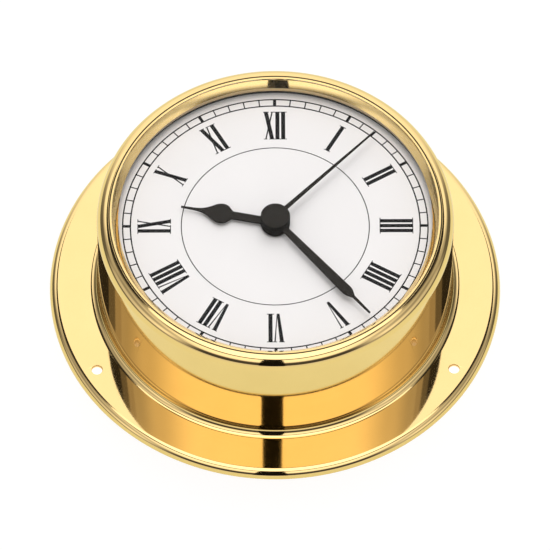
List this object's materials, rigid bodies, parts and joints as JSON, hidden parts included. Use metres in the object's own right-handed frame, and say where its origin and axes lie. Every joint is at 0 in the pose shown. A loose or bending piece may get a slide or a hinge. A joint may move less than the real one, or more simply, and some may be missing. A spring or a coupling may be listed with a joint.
{
  "type": "ship's clock",
  "caption": "Round brass ship's clock on a screw-down flange, with a white Roman dial behind glass, black hands and a geared quartz movement reached from the open back.",
  "frame": {"origin": "centre of the flange's back face, on the plane that lies against the bulkhead", "axes": "+Z out of the dial, +Y towards twelve o'clock, +X towards three o'clock"},
  "size_m": [0.11, 0.11, 0.0327],
  "materials": {
    "polished_brass": "drawn sheet brass, mirror polished and lacquered",
    "wheel_brass": "machined brass, satin",
    "clear_glass": "flat clear glass, polished",
    "gasket_rubber": "moulded black ring",
    "dial_white": "off-white lacquer with charcoal printing",
    "black_plastic": "moulded plastic, fine matt texture",
    "white_plastic": "natural moulded plastic, satin",
    "spring_steel": "bright nickel-plated steel",
    "soft_iron": "punched soft iron, dull",
    "magnet_grey": "sintered magnet, dark grey",
    "copper_wire": "enamelled copper wire",
    "board_green": "glass-fibre board with green solder mask",
    "battery_jacket": null,
    "hand_black": "stamped sheet, matt black lacquer"
  },
  "bodies": {
    "case": {"case_shell": "polished_brass", "glass_gasket": "gasket_rubber", "front_glass": "clear_glass", "reflector_ring": "polished_brass", "dial_plate": "dial_white", "movement_carrier": "black_plastic", "retaining_ring": "spring_steel", "movement_housing": "black_plastic", "movement_screw_left": "spring_steel", "movement_screw_right": "spring_steel", "movement_cover": "black_plastic", "train_bridge": "white_plastic", "stator": "soft_iron", "coil_core": "soft_iron", "coil_bobbin": "white_plastic", "coil_winding": "copper_wire", "circuit_board": "board_green", "quartz_crystal": "spring_steel", "driver_chip": "black_plastic", "battery": "battery_jacket", "contact_plus": "spring_steel", "contact_minus": "spring_steel"},
    "minute_works": {"minute_wheel": "wheel_brass", "cannon_pinion": "wheel_brass", "minute_hand": "hand_black"},
    "hour_works": {"hour_wheel": "white_plastic", "hour_hand": "hand_black"},
    "second_works": {"second_wheel": "white_plastic", "second_hand": "hand_black"},
    "third_works": {"third_wheel": "white_plastic"},
    "intermediate_works": {"intermediate_wheel": "white_plastic"},
    "rotor": {"rotor_pinion": "white_plastic", "rotor_magnet": "magnet_grey"},
    "motion_works": {"motion_wheel": "white_plastic"},
    "setting_works": {"setting_shaft": "white_plastic", "setting_knob": "white_plastic"}
  },
  "joints": [
    {"name": "minute_hand_turn", "type": "hinge", "parent": "case", "child": "minute_works", "pos_m": [0, 0, 0.02], "axis": [0, 0, -1], "continuous": true},
    {"name": "hour_hand_turn", "type": "hinge", "parent": "case", "child": "hour_works", "pos_m": [0, 0, 0.024], "axis": [0, 0, -1], "continuous": true},
    {"name": "second_hand_turn", "type": "hinge", "parent": "case", "child": "second_works", "pos_m": [0, 0, 0.016], "axis": [0, 0, -1], "continuous": true},
    {"name": "third_wheel_turn", "type": "hinge", "parent": "case", "child": "third_works", "pos_m": [0.00795, 0.00459, 0.017], "axis": [0, 0, -1], "continuous": true},
    {"name": "intermediate_wheel_turn", "type": "hinge", "parent": "case", "child": "intermediate_works", "pos_m": [-0.00824, 0.00476, 0.0145], "axis": [0, 0, -1], "continuous": true},
    {"name": "rotor_turn", "type": "hinge", "parent": "case", "child": "rotor", "pos_m": [-0.01534, 0.00601, 0.016], "axis": [0, 0, -1], "continuous": true},
    {"name": "motion_wheel_turn", "type": "hinge", "parent": "case", "child": "motion_works", "pos_m": [0, 0.0072, 0.0225], "axis": [0, 0, -1], "continuous": true},
    {"name": "setting_knob_turn", "type": "hinge", "parent": "case", "child": "setting_works", "pos_m": [0, 0.0153, 0.012], "axis": [0, 0, -1], "continuous": true}
  ],
  "couplings": [
    {"joint": "hour_hand_turn", "follows": "minute_hand_turn", "ratio": 0.083333},
    {"joint": "second_hand_turn", "follows": "minute_hand_turn", "ratio": 60},
    {"joint": "third_wheel_turn", "follows": "minute_hand_turn", "ratio": -8},
    {"joint": "intermediate_wheel_turn", "follows": "minute_hand_turn", "ratio": -360},
    {"joint": "rotor_turn", "follows": "minute_hand_turn", "ratio": 1800},
    {"joint": "motion_wheel_turn", "follows": "minute_hand_turn", "ratio": -0.33333},
    {"joint": "setting_knob_turn", "follows": "minute_hand_turn", "ratio": 0.66667}
  ]
}
